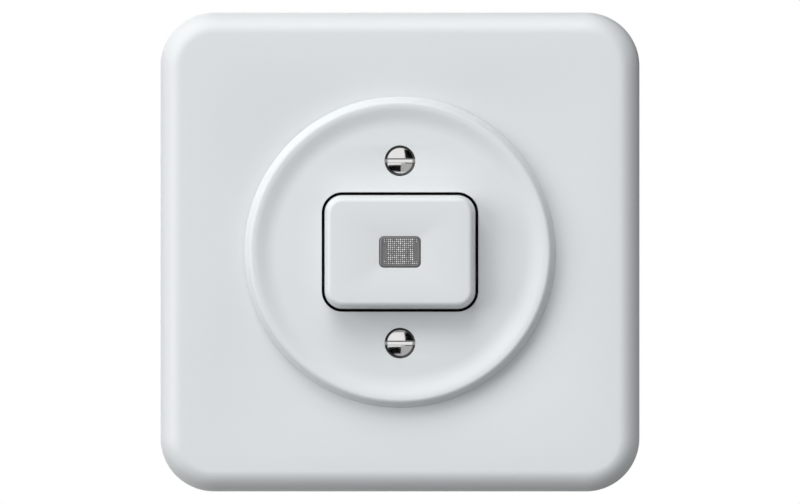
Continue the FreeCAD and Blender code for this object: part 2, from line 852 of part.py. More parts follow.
def lever_bracket():
    """Folded brass bracket: a foot on the shelf, a leg to the line terminal and two ears for the pin."""
    body = new_piece("lever_bracket")
    left = pivot_x - ear_radius
    right = pivot_x + ear_radius
    tab_right = pivot_x + ear_radius + size("leaf_arm") + leaf_radius()
    tab_half = size("leaf_width") / 2
    Drawing(body, height=shelf).outline([
        (left, row_y - ear_outer),
        (right, row_y - ear_outer),
        (right, row_y - tab_half),
        (tab_right, row_y - tab_half),
        (tab_right, row_y + tab_half),
        (right, row_y + tab_half),
        (right, row_y + ear_outer),
        (left, row_y + ear_outer),
    ]).pad(size("strip_thick"))
    leg = Drawing(body, height=shelf)
    leg.rectangle(-leg_outer, -leg_inner, row_y, block_y)
    leg.pad(size("strip_thick"))
    for inner in (row_y + ear_inner, row_y - ear_outer):
        ear = Drawing(body, "XZ_Plane", inner + size("strip_thick"))
        ear.outline([
            (left, strip_front),
            (right, strip_front),
            (right, pivot_z, ear_radius),
            (pivot_x, pivot_z + ear_radius, ear_radius),
            (left, pivot_z),
        ])
        ear.pad(size("strip_thick"))
    hole = Drawing(body, "XZ_Plane", row_y - ear_outer)
    hole.circle(pivot_x, pivot_z, size("pin_width") + size("pin_seat") * 2)
    hole.pocket(ear_outer * 2)


def leaf_radius():
    return (lever_back - size("leaf_gap") - strip_front) / 2


def lever_spring():
    """Leaf bent into a U between the bracket's foot and the lever, which lifts the lever again."""
    body = new_piece("lever_spring")
    outer = leaf_radius()
    inner = outer - size("leaf_thick")
    middle = strip_front + outer
    left = pivot_x + ear_radius
    bend_x = left + size("leaf_arm")
    leaf = Drawing(body, "XZ_Plane", row_y + size("leaf_width") / 2)
    leaf.outline([
        (left, middle - outer),
        (bend_x, middle - outer, outer),
        (bend_x + outer, middle, outer),
        (bend_x, middle + outer),
        (left, middle + outer),
        (left, middle + inner),
        (bend_x, middle + inner, -inner),
        (bend_x + inner, middle, -inner),
        (bend_x, middle - inner),
        (left, middle - inner),
    ])
    leaf.pad(size("leaf_width"))


def load_strip():
    """Flat brass strip from the fixed contact to the load terminal, laid on the base's shelf."""
    body = new_piece("load_strip")
    half = size("lever_width") / 2
    left = size("contact_offset") - half
    Drawing(body, height=shelf).outline([
        (left, row_y - half + size("shelf_clear")),
        (leg_outer, row_y - half + size("shelf_clear")),
        (leg_outer, block_y),
        (leg_inner, block_y),
        (leg_inner, row_y + half),
        (left, row_y + half),
    ]).pad(size("strip_thick"))


def fixed_contact():
    """Flat round contact that the lever's dome comes down on."""
    body = new_piece("fixed_contact", x=size("contact_offset"), y=row_y, z=strip_front)
    Drawing(body).circle(ZERO, ZERO, size("anvil_width")).pad(size("anvil_thick"))


def terminal_block(label, sign, turned):
    """Brass block with a blind hole for the wire, from behind, and a clamping screw's hole in its side."""
    body = new_piece(label, turned=turned)
    x = terminal_x * sign
    block = Drawing(body, height=block_back)
    block.rectangle(x - block_half, x + block_half, block_y, block_outer)
    block.pad(size("block_length"))
    wire = Drawing(body, height=block_back + size("wire_depth"))
    wire.circle(x, wire_y, size("wire_hole")).pocket(size("wire_depth"))
    clamp = Drawing(body, "XZ_Plane", clamp_end)
    clamp.circle(x, clamp_z, size("clamp_width") + size("clamp_clear") * 2)
    clamp.pocket(block_outer - clamp_end)


def terminal_screws():
    """Four slotted screws that clamp the wires in the terminal blocks."""
    body = new_piece("terminal_screws")
    head_top = block_outer + size("clamp_head_thick")
    shank = Drawing(body, "XZ_Plane", block_outer)
    head = Drawing(body, "XZ_Plane", head_top)
    for x in (terminal_x, -terminal_x):
        shank.circle(x, clamp_z, size("clamp_width"))
        head.circle(x, clamp_z, size("clamp_head"))
    made = [head.pad(size("clamp_head_thick")),
            shank.pad(block_outer - clamp_end - size("clamp_clear"))]
    across, reach = size("driver_width") / 2, size("clamp_head") / 2
    slot = Drawing(body, "XZ_Plane", head_top - size("clamp_head_thick") / 2)
    for x in (terminal_x, -terminal_x):
        slot.rectangle(x - reach, x + reach, clamp_z - across, clamp_z + across)
    made.append(slot.pocket(size("clamp_head_thick") / 2))
    mirror(body, "XZ_Plane", made)


cover_frame()
front_plate()
front_plate_screws()
threaded_pillars()
push_button()
window_lens()
button_slider()
guide_housing()
mounting_plate()
switch_base()
tie_screws()
return_spring()
lamp_holder()
indicator_lamp()
lamp_strip("lamp_neutral_strip", 1)
lamp_strip("lamp_live_strip", -1)
contact_lever()
moving_contact()
pivot_pin()
lever_bracket()
lever_spring()
load_strip()
fixed_contact()
terminal_block("line_terminal", -1, turned=False)
terminal_block("load_terminal", 1, turned=False)
terminal_block("lamp_neutral_terminal", 1, turned=True)
terminal_block("lamp_live_terminal", -1, turned=True)
terminal_screws()

# Nothing is written unless every feature and every piece came out sound
doc.recompute()
for item in doc.Objects:
    if "Invalid" in item.State or "Error" in item.State:
        raise ValueError(f"{item.Label} failed")
for piece in pieces:
    if piece.Shape.isNull() or not piece.Shape.isValid():
        raise ValueError(f"{piece.Label} has no sound shape")

os.makedirs("parts", exist_ok=True)
for piece in pieces:
    piece.Shape.exportStep(f"parts/{piece.Label}.step")
    print(f"{piece.Label}: {len(piece.Shape.Solids)} solid, {piece.Shape.Volume:.1f} cubic mm")
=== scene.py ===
# %% [markdown]
# # A push button switch for the wall
# The real object is a square white frame with a round dished plate on it, held by two
# slotted screws, and a rectangular button with a small clear window in the middle.
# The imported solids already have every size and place, so this lesson only dresses them:
# the pieces that the eye rests on become fine smooth surfaces, and every other solid
# keeps its shape and gets a finish of its own.

import bmesh
import bpy
import numpy as np
from mathutils.geometry import tessellate_polygon
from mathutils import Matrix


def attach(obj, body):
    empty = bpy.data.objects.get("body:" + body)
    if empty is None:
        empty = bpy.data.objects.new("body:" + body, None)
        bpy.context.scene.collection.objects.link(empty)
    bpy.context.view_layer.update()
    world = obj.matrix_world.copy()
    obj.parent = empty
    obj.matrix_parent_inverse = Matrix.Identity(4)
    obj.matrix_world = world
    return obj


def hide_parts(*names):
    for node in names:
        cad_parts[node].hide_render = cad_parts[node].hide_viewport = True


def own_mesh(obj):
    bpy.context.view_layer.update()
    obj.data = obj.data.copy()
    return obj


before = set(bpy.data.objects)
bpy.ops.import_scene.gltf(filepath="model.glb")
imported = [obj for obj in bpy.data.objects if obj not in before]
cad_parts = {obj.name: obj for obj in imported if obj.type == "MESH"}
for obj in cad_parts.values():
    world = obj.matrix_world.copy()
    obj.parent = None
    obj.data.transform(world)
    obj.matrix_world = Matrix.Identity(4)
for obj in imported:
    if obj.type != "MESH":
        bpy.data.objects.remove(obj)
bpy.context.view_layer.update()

# %% [markdown]
# ## From a drawing to the wall
# It is easier to think of a switch lying face up on the bench: x to the right, y up the
# face and z out of the wall, in millimetres. One function stands such a drawing up, so
# no piece has to be turned or moved as an object, and its place is in its mesh.

# %% Stand a drawing up
MM = 0.001


def stand(points):
    """Drawing (x, y, z) in mm becomes frame (x, -z, y) in metres, a quarter turn about x."""
    points = np.asarray(points, float)
    return np.stack([points[..., 0], -points[..., 2], points[..., 1]], axis=-1) * MM


print("a point 14 mm out of the wall stands at", stand([0, 0, 14.0]))

# %% [markdown]
# ## Loops with rounded corners
# Frame, button, window and even the round plate are the same idea: a loop with rounded
# corners that changes size from level to level. A circle is such a loop too, with a corner
# radius as large as its half width. Each loop has the same number of points, so any two
# can be joined by a strip of faces, for instance the square face to its round hole.

# %% Loops and rounded edges
ARC_STEPS, LEAN_STEPS, ROLL_STEPS, LIP_STEPS, MOUTH_STEPS = 25, 15, 25, 5, 6


def loops(rows):
    """One closed loop for each row (half width, half height, corner radius, level).
    Quarter k turns about (+-(half width - corner), +-(half height - corner)): its points are
    that centre plus corner * (cos a, sin a), with a running from 90 k to 90 k + 90 degrees."""
    half_x, half_y, corner, level = np.asarray(rows, float).T[:, :, None, None]
    angle = (np.arange(4)[:, None] + np.linspace(0, 1, ARC_STEPS)) * np.pi / 2
    side_x = np.array([1, -1, -1, 1])[:, None]
    side_y = np.array([1, 1, -1, -1])[:, None]
    x = side_x * (half_x - corner) + corner * np.cos(angle)
    y = side_y * (half_y - corner) + corner * np.sin(angle)
    z = np.broadcast_to(level, x.shape)
    return np.stack([x, y, z], axis=-1).reshape(len(level), -1, 3)


def rolled(start, end, upright, steps):
    """Rows of a rolled edge: a quarter ellipse from one row to another. With share t from 0 to
    90 degrees, one of plan and level moves with sin t and the other with 1 - cos t; upright
    edges leave the first row along the wall's normal."""
    start, end = np.asarray(start, float), np.asarray(end, float)
    t = np.linspace(0, np.pi / 2, steps)[:, None]
    fast, slow = np.sin(t), 1 - np.cos(t)
    plan, level = (slow, fast) if upright else (fast, slow)
    return start + (end - start) * np.hstack([plan, plan, plan, level])


def leaning(side, run, height):
    """Inset and rise along an edge whose side leans inwards by the angle a, tan a = run / side,
    and then turns level on an arc of radius r, where r (1 - sin a) is the height above the
    side."""
    lean = np.arctan2(run, side)
    bend = (height - side) / (1 - np.sin(lean))
    a = np.linspace(lean, np.pi / 2, LEAN_STEPS)
    return run + bend * (np.cos(lean) - np.cos(a)), height - bend * (1 - np.sin(a))


def disc(radius, level):
    """The row of a circle: half width, half height and corner radius are all the radius."""
    return [radius, radius, radius, level]


print("points on a loop:", loops([disc(1, 0)]).shape[1])

# %% [markdown]
# ## From arrays to a piece
# Blender has lathe, bevel and boolean tools for this, but their results are hard to keep
# smooth across a large flat face. Here each surface is a grid of points, a flat face with
# holes is filled between its loops, and one function welds the parts of a piece together,
# turns the faces outwards and keeps only real edges sharp.

# %% Skin, cap and piece
WELD = 1e-6
SHARP_ANGLE = 32


def skin(points, around=True, closed=False):
    """A grid of points as quads: corners (i, j), (i, j+1), (i+1, j+1), (i+1, j); around joins
    the last column to the first, closed joins the last row to the first."""
    count, width = points.shape[:2]
    index = np.arange(count * width).reshape(count, width)
    if around:
        index = np.hstack([index, index[:, :1]])
    if closed:
        index = np.vstack([index, index[:1]])
    corners = [index[:-1, :-1], index[:-1, 1:], index[1:, 1:], index[1:, :-1]]
    return points.reshape(-1, 3), np.stack(corners, axis=-1).reshape(-1, 4)


def cap(*outlines):
    """A flat face between an outer loop and the loops of its holes, filled with triangles."""
    faces = tessellate_polygon([outline.tolist() for outline in outlines])
    return np.vstack(outlines), np.array(faces)


def place_piece(name, body, mesh, work, nodes):
    """Puts a worked mesh into the scene: it rides on a body and stands for its CAD nodes; prints
    how many faces it has and how many edges are left open."""
    gaps = sum(not edge.is_manifold for edge in work.edges)
    work.to_mesh(mesh)
    work.free()
    mesh.shade_smooth()
    mesh.set_sharp_from_angle(angle=np.radians(SHARP_ANGLE))
    piece = bpy.data.objects.new(name, mesh)
    bpy.context.scene.collection.objects.link(piece)
    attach(piece, body)
    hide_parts(*nodes)
    print(name, "faces:", len(mesh.polygons), " open edges:", gaps)
    return piece


def make_piece(name, body, patches, nodes):
    """Joins patches (points, faces) into one welded mesh with its faces turned outwards."""
    points = stand(np.vstack([points for points, _ in patches]))
    first, faces = 0, []
    for patch_points, corners in patches:
        faces.extend((corners + first).tolist())
        first += len(patch_points)
    mesh = bpy.data.meshes.new(name)
    mesh.from_pydata(points, [], faces)
    work = bmesh.new()
    work.from_mesh(mesh)
    bmesh.ops.remove_doubles(work, verts=work.verts, dist=WELD)
    bmesh.ops.dissolve_degenerate(work, edges=work.edges, dist=WELD)
    bmesh.ops.recalc_face_normals(work, faces=work.faces)
    return place_piece(name, body, mesh, work, nodes)


# %% [markdown]
# ## The cover frame
# The frame is a hollow square shell with a soft rolled front edge, a little taller than
# wide. Its whole cross section is one closed ring of rows: up the outside, over the rolled
# edge, across the face to the round hole, down the hole, round the hub and back along the
# inside to the rim on the wall.

# %% Cover frame
FRAME_HALF, FRAME_CORNER, FACE = 43.0, 9.6, 8.0
FRAME_EDGE, FRAME_ROLL, FRAME_WALL = 3.8, 4.6, 2.0
HOLE, HUB_OUTER, HUB_BACK = 25.5, 27.3, 4.5
ROOF = FACE - FRAME_WALL
LIP = 0.25


def square(inset, level):
    """The row of the frame's outline, set in from its side; the corner shrinks with it."""
    half, corner = FRAME_HALF - inset, FRAME_CORNER - inset
    return [half, half, corner, level]


frame_rows = np.vstack([
    rolled(square(LIP, 0), square(0, LIP), False, LIP_STEPS),
    rolled(square(0, FACE - FRAME_ROLL), square(FRAME_EDGE, FACE), True, ROLL_STEPS),
    rolled(disc(HOLE + LIP, FACE), disc(HOLE, FACE - LIP), False, LIP_STEPS),
    [disc(HOLE, HUB_BACK), disc(HUB_OUTER, HUB_BACK), disc(HUB_OUTER, ROOF)],
    [square(FRAME_WALL, ROOF)],
    rolled(square(FRAME_WALL, LIP), square(FRAME_WALL - LIP, 0), True, LIP_STEPS),
])
cover_frame = make_piece(
    "cover_frame_shell", "housing", [skin(loops(frame_rows), closed=True)],
    ["cover_frame"])

# %% [markdown]
# ## The dished front plate
# The plate has a leaning rim with a small chamfer at its foot, a slope in the shape of a flat
# S down to the flat middle, an opening for the button and two recesses for its screws. Rim
# and slope are loops again. The flat middle has three holes, so it is a filled face whose
# loops are shared with the walls.

# %% Front plate
PLATE, RIM_SIDE, RIM_RUN, CREST, PLATEAU = 28.0, 2.15, 0.86, 10.6, 9.8
FOOT_GAP, FOOT_DEEP = 0.22, 0.42
CREST_BEND, FOOT_BEND, DISH_ANGLE, PLATE_BACK = 1.1, 2.2, np.radians(17.0), 7.6
SPIGOT, SPIGOT_INNER, SPIGOT_BACK = 25.3, 23.5, 5.5
SCREW_Y, SEAT, BORE, HEAD_LEVEL = 16.35, 2.75, 1.58, 9.0
OPENING = np.array([14.03, 10.705, 3.73])
DISH_STEPS = 17
OPENING_LIP, RECESS_LIP = 0.12, 0.05


def discs(radius, level):
    """Rows of circles, from an array of radii and one of levels."""
    return np.stack([radius, radius, radius, level], axis=-1)


def dish_rows(crest_x):
    """The S-shaped slope: an arc of width u bends down from the crest by the angle a, a straight
    run follows, and an arc of width v bends level at the middle. An arc drops by its width *
    tan(a / 2), and the straight run takes the rest of the depth, divided by tan a."""
    arcs = CREST_BEND + FOOT_BEND
    straight = (CREST - PLATEAU - arcs * np.tan(DISH_ANGLE / 2)) / np.tan(DISH_ANGLE)
    a = np.linspace(0, DISH_ANGLE, DISH_STEPS)
    out, drop = np.sin(a) / np.sin(DISH_ANGLE), (1 - np.cos(a)) / np.sin(DISH_ANGLE)
    inner = crest_x - arcs - straight + FOOT_BEND * out[::-1]
    radius = np.concatenate([crest_x - CREST_BEND * out, inner])
    height = np.concatenate([CREST - CREST_BEND * drop, PLATEAU + FOOT_BEND * drop[::-1]])
    return discs(radius, height)


def opening_row(out, level):
    """The row of the opening for the button, widened all round."""
    return [*(OPENING + out), level]


def moved(points, x=0.0, y=0.0):
    """Points of a drawing, moved across its face."""
    return points + np.array([x, y, 0.0])


inset, rise = leaning(RIM_SIDE, RIM_RUN, CREST - FACE)
plate_rows = np.vstack([
    [disc(SPIGOT_INNER, PLATE_BACK), disc(SPIGOT_INNER, SPIGOT_BACK)],
    [disc(SPIGOT, SPIGOT_BACK), disc(SPIGOT, FACE), disc(PLATE - FOOT_DEEP, FACE)],
    [disc(PLATE - RIM_RUN * FOOT_GAP / RIM_SIDE, FACE + FOOT_GAP)],
    discs(PLATE - inset, FACE + rise), dish_rows(PLATE - inset[-1]),
])
opening_rows = np.vstack([
    rolled(opening_row(OPENING_LIP, PLATEAU), opening_row(0, PLATEAU - OPENING_LIP), False,
           MOUTH_STEPS),
    [opening_row(0, PLATE_BACK)],
])
recess_rows = np.vstack([
    rolled(disc(SEAT + RECESS_LIP, PLATEAU), disc(SEAT, PLATEAU - RECESS_LIP), False,
           MOUTH_STEPS),
    [disc(SEAT, HEAD_LEVEL), disc(BORE, HEAD_LEVEL - SEAT + BORE), disc(BORE, PLATE_BACK)],
])
plate_ring, opening_wall, recess = loops(plate_rows), loops(opening_rows), loops(recess_rows)
upper, lower = moved(recess, y=SCREW_Y), moved(recess, y=-SCREW_Y)
front_plate = make_piece(
    "front_plate_dish", "housing",
    [skin(plate_ring), skin(opening_wall), skin(upper), skin(lower),
     cap(plate_ring[-1], opening_wall[0], upper[0], lower[0]),
     cap(plate_ring[0], opening_wall[-1], upper[-1], lower[-1])],
    ["front_plate"])

# %% [markdown]
# ## The button
# A hollow cap whose sides lean in a little and roll over into its face, with a small window.
# Its section is a closed ring of rows as well: up the skirt, over the edge, in to the
# window, through the roof and down the inside. The bright line along its edges is that roll.

# %% Push button
CAP = np.array([13.5, 10.175, 3.2])
CAP_FOOT, CAP_SIDE, CAP_RUN = 11.8, 2.12, 0.36
CAP_BACK, CAP_FRONT, CAP_ROOF, CAP_WALL = 0.95, 14.7, 12.7, 1.6
WINDOW = np.array([3.725, 2.8, 0.85])
WINDOW_LIP = 0.08


def cap_row(inset, level):
    """The row of the button's outline, set in from its side."""
    return [*(CAP - inset), level]


def window_row(out, level):
    """The row of the hole for the window, widened all round."""
    return [*(WINDOW + out), level]


inset, rise = leaning(CAP_SIDE, CAP_RUN, CAP_FRONT - CAP_FOOT)
cap_rows = np.vstack([
    [cap_row(0, CAP_BACK), cap_row(0, CAP_FOOT)],
    np.column_stack([CAP - inset[:, None], CAP_FOOT + rise]),
    rolled(window_row(WINDOW_LIP, CAP_FRONT), window_row(0, CAP_FRONT - WINDOW_LIP), False,
           LIP_STEPS),
    [window_row(0, CAP_ROOF), cap_row(CAP_WALL, CAP_ROOF), cap_row(CAP_WALL, CAP_BACK)],
])
push_button = make_piece(
    "push_button_cap", "button", [skin(loops(cap_rows), closed=True)],
    ["push_button"])

# %% [markdown]
# ## The window
# The clear window has plain bevelled borders and a field of small lens-shaped dots that
# scatter the lamp's light. Body and field are two closed shells in one piece: loops for
# the body, and for the field a height map in which each dot is a little parabola.

# %% Window lens
LENS = np.array([3.675, 2.75, 0.8])
LENS_LIP, LENS_BACK, LENS_SEAT, LENS_FRONT, LENS_BEVEL = 1.2, 11.7, 12.7, 14.85, 0.3
BEVEL_IN, BEVEL_DOWN = 0.12, 0.1
TRAY_INSET, TRAY_CORNER, TRAY_DROP = 0.15, 0.05, 0.1
DOT_COLUMNS, DOT_ROWS, DOT_PITCH, DOT_SHIFT = 17, 13, 0.3585, 0.09
DOT_RADIUS, DOT_RISE, DOT_STEPS = 0.17, 0.08, 6
FIELD_X, FIELD_Y = DOT_COLUMNS * DOT_PITCH / 2, DOT_ROWS * DOT_PITCH / 2
FIELD_LEVEL, FIELD_DEEP = 14.76, 14.5


def lens_row(inset, level):
    """The row of the lens's outline, set in from its side."""
    return [*(LENS - inset), level]


def dot_field():
    """Heights over a field: each dot of radius r on pitch p rises h * (1 - (d / r)^2), with d
    the distance from its centre; a flat underside and four sides close the tile."""
    x, y = np.meshgrid(np.linspace(-FIELD_X, FIELD_X, DOT_COLUMNS * DOT_STEPS + 1),
                       np.linspace(-FIELD_Y, FIELD_Y, DOT_ROWS * DOT_STEPS + 1))
    beside = (x + FIELD_X) % DOT_PITCH - DOT_PITCH / 2
    above = (y + FIELD_Y) % DOT_PITCH - DOT_PITCH / 2
    share = 1 - (beside ** 2 + above ** 2) / DOT_RADIUS ** 2
    level = FIELD_LEVEL + DOT_RISE * np.clip(share, 0, 1)
    top = moved(np.stack([x, y, level], axis=-1), DOT_SHIFT, DOT_SHIFT)
    under = moved(np.stack([x, y, np.full_like(x, FIELD_DEEP)], axis=-1), DOT_SHIFT, DOT_SHIFT)
    edges = [(grid[0], grid[-1], grid[:, 0], grid[:, -1]) for grid in (top, under)]
    sides = [skin(np.stack(pair), around=False) for pair in zip(*edges)]
    return [skin(top, around=False), skin(under, around=False), *sides]


lens_loops = loops([
    lens_row(-LENS_LIP, LENS_BACK), lens_row(-LENS_LIP, LENS_SEAT), lens_row(0, LENS_SEAT),
    lens_row(0, LENS_FRONT - LENS_BEVEL), lens_row(BEVEL_IN, LENS_FRONT - BEVEL_DOWN),
    lens_row(LENS_BEVEL, LENS_FRONT),
    [FIELD_X - TRAY_INSET, FIELD_Y - TRAY_INSET, TRAY_CORNER, FIELD_LEVEL - TRAY_DROP]])
window_lens = make_piece(
    "window_lens_prism", "button",
    [skin(lens_loops), cap(lens_loops[0]), cap(lens_loops[-1]), *dot_field()],
    ["window_lens"])

# %% [markdown]
# ## The two slotted screws
# A raised countersunk head is a flat dome with a rounded shoulder over a cone, and a slot
# straight across. The head is cut into two half moons and a floor between them, so the slot's
# edges are true edges of the grid and not a texture. Cone and shank follow the same outline.

# %% Front plate screws
HEAD, HEAD_EDGE, HEAD_SHOULDER, HEAD_DOME = 2.7, 0.42, 0.5, 0.53
SLOT_HALF, SLOT_ROUND, SLOT_FLOOR, SHANK, SHANK_END = 0.3, 0.17, 9.05, 1.5, 1.0
MOON_STEPS, ROUND_STEPS, CHORD_STEPS, FLOOR_STEPS = 40, 8, 65, 5
CROWN = HEAD - HEAD_EDGE
CROWN_BEND = (CROWN ** 2 / HEAD_DOME + HEAD_DOME) / 2
SHOULDER_BEND = (HEAD_SHOULDER ** 2 / HEAD_EDGE + HEAD_EDGE) / 2


def head_level(x, y):
    """Height of the head: a sphere of radius (c^2 / h + h) / 2 over the crown c, h high, and
    outside the crown a quarter-round shoulder that ends upright at the rim."""
    radius = np.hypot(x, y)
    top = HEAD_LEVEL + HEAD_SHOULDER + HEAD_DOME
    crown = top - CROWN_BEND + np.sqrt(np.clip(CROWN_BEND ** 2 - radius ** 2, 0, None))
    beyond = radius - HEAD + SHOULDER_BEND
    shoulder = HEAD_LEVEL + np.sqrt(np.clip(SHOULDER_BEND ** 2 - beyond ** 2, 0, None))
    return np.where(radius < CROWN, crown, shoulder)


def chords(y):
    """A grid over a slice of the disc: for each y the chord x = sin(t) * sqrt(r^2 - y^2), with t
    from -90 to 90 degrees, so that the points crowd together at the rim."""
    s = np.sin(np.linspace(-np.pi / 2, np.pi / 2, CHORD_STEPS))
    y = np.asarray(y)[:, None] * np.ones_like(s)
    return s * np.sqrt(np.clip(HEAD ** 2 - y ** 2, 0, None)), y


def screw(centre):
    """Two half moons of the head, the slot's floor and walls, then cone and shank as rings
    that scale the rim's own outline. The slot's edges are rounded: w (1 - cos t) sideways goes
    with a drop of w (1 - sin t), but never below the floor."""
    t = np.linspace(0, np.pi / 2, ROUND_STEPS)
    inner = SLOT_HALF + SLOT_ROUND * (1 - np.cos(t))
    outer = inner[-1] + (HEAD - inner[-1]) * np.sin(np.linspace(0, np.pi / 2, MOON_STEPS))
    drop = np.concatenate([SLOT_ROUND * (1 - np.sin(t)), np.zeros(MOON_STEPS - 1)])[:, None]
    x, y = chords(np.concatenate([inner, outer[1:]]))
    level = head_level(x, y)
    moon = np.stack([x, y, np.minimum(level, np.maximum(level - drop, SLOT_FLOOR))], axis=-1)
    other = moon * np.array([1, -1, 1])
    x, y = chords(np.linspace(-SLOT_HALF, SLOT_HALF, FLOOR_STEPS))
    floor = np.stack([x, y, np.minimum(head_level(x, y), SLOT_FLOOR)], axis=-1)
    walls = [np.stack([moon[0], floor[-1]]), np.stack([other[0], floor[0]])]
    right = np.concatenate([other[::-1, -1], floor[1:-1, -1], moon[:, -1]])
    left = right[-2:0:-1] * np.array([-1, 1, 1])
    rim = np.concatenate([right, left])
    share = np.array([1, SHANK / HEAD, SHANK / HEAD])[:, None]
    level = np.array([HEAD_LEVEL, HEAD_LEVEL - HEAD + SHANK, SHANK_END])[:, None]
    below = np.stack([share * rim[:, 0], share * rim[:, 1], level * np.ones(len(rim))], axis=-1)
    grids = [skin(grid, around=False) for grid in (moon, other, floor, *walls)]
    patches = [*grids, skin(below), cap(below[-1])]
    return [(moved(points, y=centre), faces) for points, faces in patches]


front_screws = make_piece(
    "front_plate_screw_pair", "housing", screw(SCREW_Y) + screw(-SCREW_Y),
    ["front_plate_screws"])

# %% [markdown]
# ## The two springs
# Inside, a coil spring lifts the button and a bent leaf lifts the contact lever. Both are a
# profile carried along a path.

# %% Return spring
COIL_RADIUS, WIRE, COIL_FOOT, COIL_TOP = 5.35, 0.35, -10.65, -0.95
COIL_TURNS, COIL_STEPS, WIRE_STEPS = 5, 60, 12
CLOSED_PITCH, CLOSED_TURNS, BLEND_TURNS = 0.16, 0.7, 0.6


def coil():
    """A wire circle of radius w carried along a helix of radius R. The pitch is small near both
    ends and full between, blended by s^2 (3 - 2 s); height is the running sum of that pitch."""
    turn = np.linspace(0, COIL_TURNS, COIL_TURNS * COIL_STEPS + 1)
    beyond = np.minimum(turn, COIL_TURNS - turn) - CLOSED_TURNS
    share = np.clip(beyond, 0, BLEND_TURNS) / BLEND_TURNS
    pitch = CLOSED_PITCH + (1 - CLOSED_PITCH) * share ** 2 * (3 - 2 * share)
    height = np.concatenate([[0], np.cumsum((pitch[1:] + pitch[:-1]) / 2)])
    level = COIL_FOOT + (COIL_TOP - COIL_FOOT) * height / height[-1]
    a, around = 2 * np.pi * turn[:, None], 2 * np.pi * np.arange(WIRE_STEPS) / WIRE_STEPS
    out = COIL_RADIUS + WIRE * np.cos(around)
    rise = level[:, None] + WIRE * np.sin(around)
    return np.stack([out * np.cos(a), out * np.sin(a), rise], axis=-1)


wire = coil()
return_spring = make_piece(
    "return_spring_coil", "housing", [skin(wire), cap(wire[0]), cap(wire[-1])],
    ["return_spring"])
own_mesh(return_spring)

# %% Lever spring
LEAF_LEFT, LEAF_BEND, LEAF_FOOT, LEAF_OUTER, LEAF_THICK = -11.575, -7.175, -14.01, 3.08, 0.4
LEAF_ROW, LEAF_HALF, LEAF_STEPS, LEAF_SHARE = 8.6, 1.5, 25, 0.81


def leaf():
    """A flat band bent into a U: its section is two arms and two half circles about the bend,
    and the same closed outline stands at both edges of the band."""
    a = np.linspace(-np.pi / 2, np.pi / 2, LEAF_STEPS)
    inner, middle = LEAF_OUTER - LEAF_THICK, LEAF_FOOT + LEAF_OUTER
    outer_x, outer_z = LEAF_BEND + LEAF_OUTER * np.cos(a), middle + LEAF_OUTER * np.sin(a)
    inner_x, inner_z = LEAF_BEND + inner * np.cos(a), middle + inner * np.sin(a)
    x = np.concatenate([[LEAF_LEFT], outer_x, [LEAF_LEFT, LEAF_LEFT], inner_x[::-1], [LEAF_LEFT]])
    z = np.concatenate([
        [outer_z[0]], outer_z, [outer_z[-1], inner_z[-1]], inner_z[::-1], [inner_z[0]]])
    edges = [np.full_like(x, LEAF_ROW + side * LEAF_HALF) for side in (-1, 1)]
    return np.stack([np.stack([x, y, z], axis=-1) for y in edges])


band = leaf()
lever_spring = make_piece(
    "lever_spring_leaf", "housing", [skin(band), cap(band[0]), cap(band[1])],
    ["lever_spring"])
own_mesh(lever_spring)

# %% [markdown]
# ## Broken edges behind the face
# The base, the mounting plate and the brass blocks have their final shape as solids, but no
# moulding, stamping or sawn block has razor edges. They could be drawn again as grids, which
# gains nothing on flat shapes. So a copy of each solid is welded, its outward edges get a small
# bevel, and weighted normals keep the flat faces looking flat.

# %% Base, mounting plate and terminals
FLAT_TURN, EDGE_TURN = np.radians(0.5), np.radians(40)
BREAK_STEPS, BREAK_PROFILE = 3, 0.5
BASE_BREAK, PLATE_BREAK, BLOCK_BREAK = 0.34, 0.14, 0.22
BASE_HALF, BASE_CORNER, BASE_DEPTH, NEAR = 22.0, 7.0, 22.0, 0.01


def soften(name, width, keep=None):
    """A copy of a solid with broken edges: each edge at which two faces turn outwards by more
    than 40 degrees, and whose ends are all kept, is cut back by the width in three steps."""
    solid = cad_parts[name].data
    points = np.empty(3 * len(solid.vertices))
    corners = np.empty(3 * len(solid.polygons), int)
    solid.vertices.foreach_get("co", points)
    solid.polygons.foreach_get("vertices", corners)
    mesh = bpy.data.meshes.new(name + "_rounded")
    mesh.from_pydata(points.reshape(-1, 3), [], corners.reshape(-1, 3).tolist())
    work = bmesh.new()
    work.from_mesh(mesh)
    bmesh.ops.remove_doubles(work, verts=work.verts, dist=WELD)
    bmesh.ops.dissolve_limit(work, angle_limit=FLAT_TURN, verts=work.verts, edges=work.edges)
    turned_out = [edge for edge in work.edges
                  if edge.is_convex and edge.calc_face_angle() > EDGE_TURN]
    chosen = [edge for edge in turned_out
              if keep is None or all(keep(end.co / MM) for end in edge.verts)]
    bmesh.ops.bevel(work, geom=chosen, offset=width * MM, offset_type="OFFSET",
                    segments=BREAK_STEPS, profile=BREAK_PROFILE, affect="EDGES",
                    clamp_overlap=False)
    piece = place_piece(name + "_rounded", "housing", mesh, work, [name])
    piece.modifiers.new("flat_faces", "WEIGHTED_NORMAL").keep_sharp = True
    return piece


def on_outside(point):
    """True on the base's back and on its rounded sides, but not on its front, which lies on the
    plate. A point of the sides is one corner radius away from the square of the corners'
    centres."""
    past = np.maximum(np.abs([point.x, point.z]) - BASE_HALF + BASE_CORNER, 0)
    on_side = np.hypot(*past) > BASE_CORNER - NEAR
    return point.y > NEAR and (on_side or point.y > BASE_DEPTH - NEAR)


switch_base = soften("switch_base", BASE_BREAK, on_outside)
mounting_plate = soften("mounting_plate", PLATE_BREAK)
TERMINALS = ["line_terminal", "load_terminal", "lamp_live_terminal", "lamp_neutral_terminal"]
terminals = [soften(name, BLOCK_BREAK) for name in TERMINALS]

